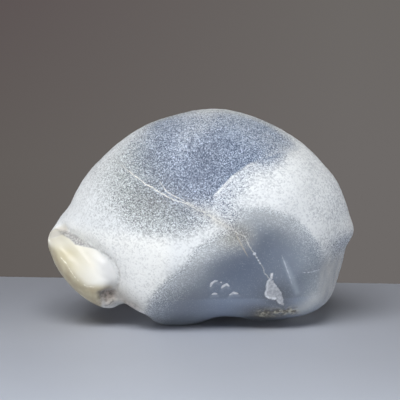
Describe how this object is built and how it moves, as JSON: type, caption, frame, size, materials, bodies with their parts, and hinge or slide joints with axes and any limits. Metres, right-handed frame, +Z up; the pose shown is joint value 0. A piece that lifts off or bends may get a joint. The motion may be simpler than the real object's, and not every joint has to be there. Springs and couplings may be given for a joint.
{
  "type": "chalcedony nodule",
  "caption": "Rounded chalcedony nodule with a frosted dome, a smooth cream lobe at one end and glossy broken hollows low at the front, standing on its own worn feet.",
  "frame": {"origin": "middle of the base, on the surface that the stone stands on", "axes": "+Z up, +X to the right and -Y towards the viewer of the broken side, with the cream lobe at -X"},
  "size_m": [0.1, 0.0668, 0.0698],
  "materials": {
    "chalcedony": "frosted blue-grey and white, glossy in the broken hollows, cream on the lobe"
  },
  "bodies": {
    "root": {"chalcedony_nodule": "chalcedony"}
  },
  "joints": []
}
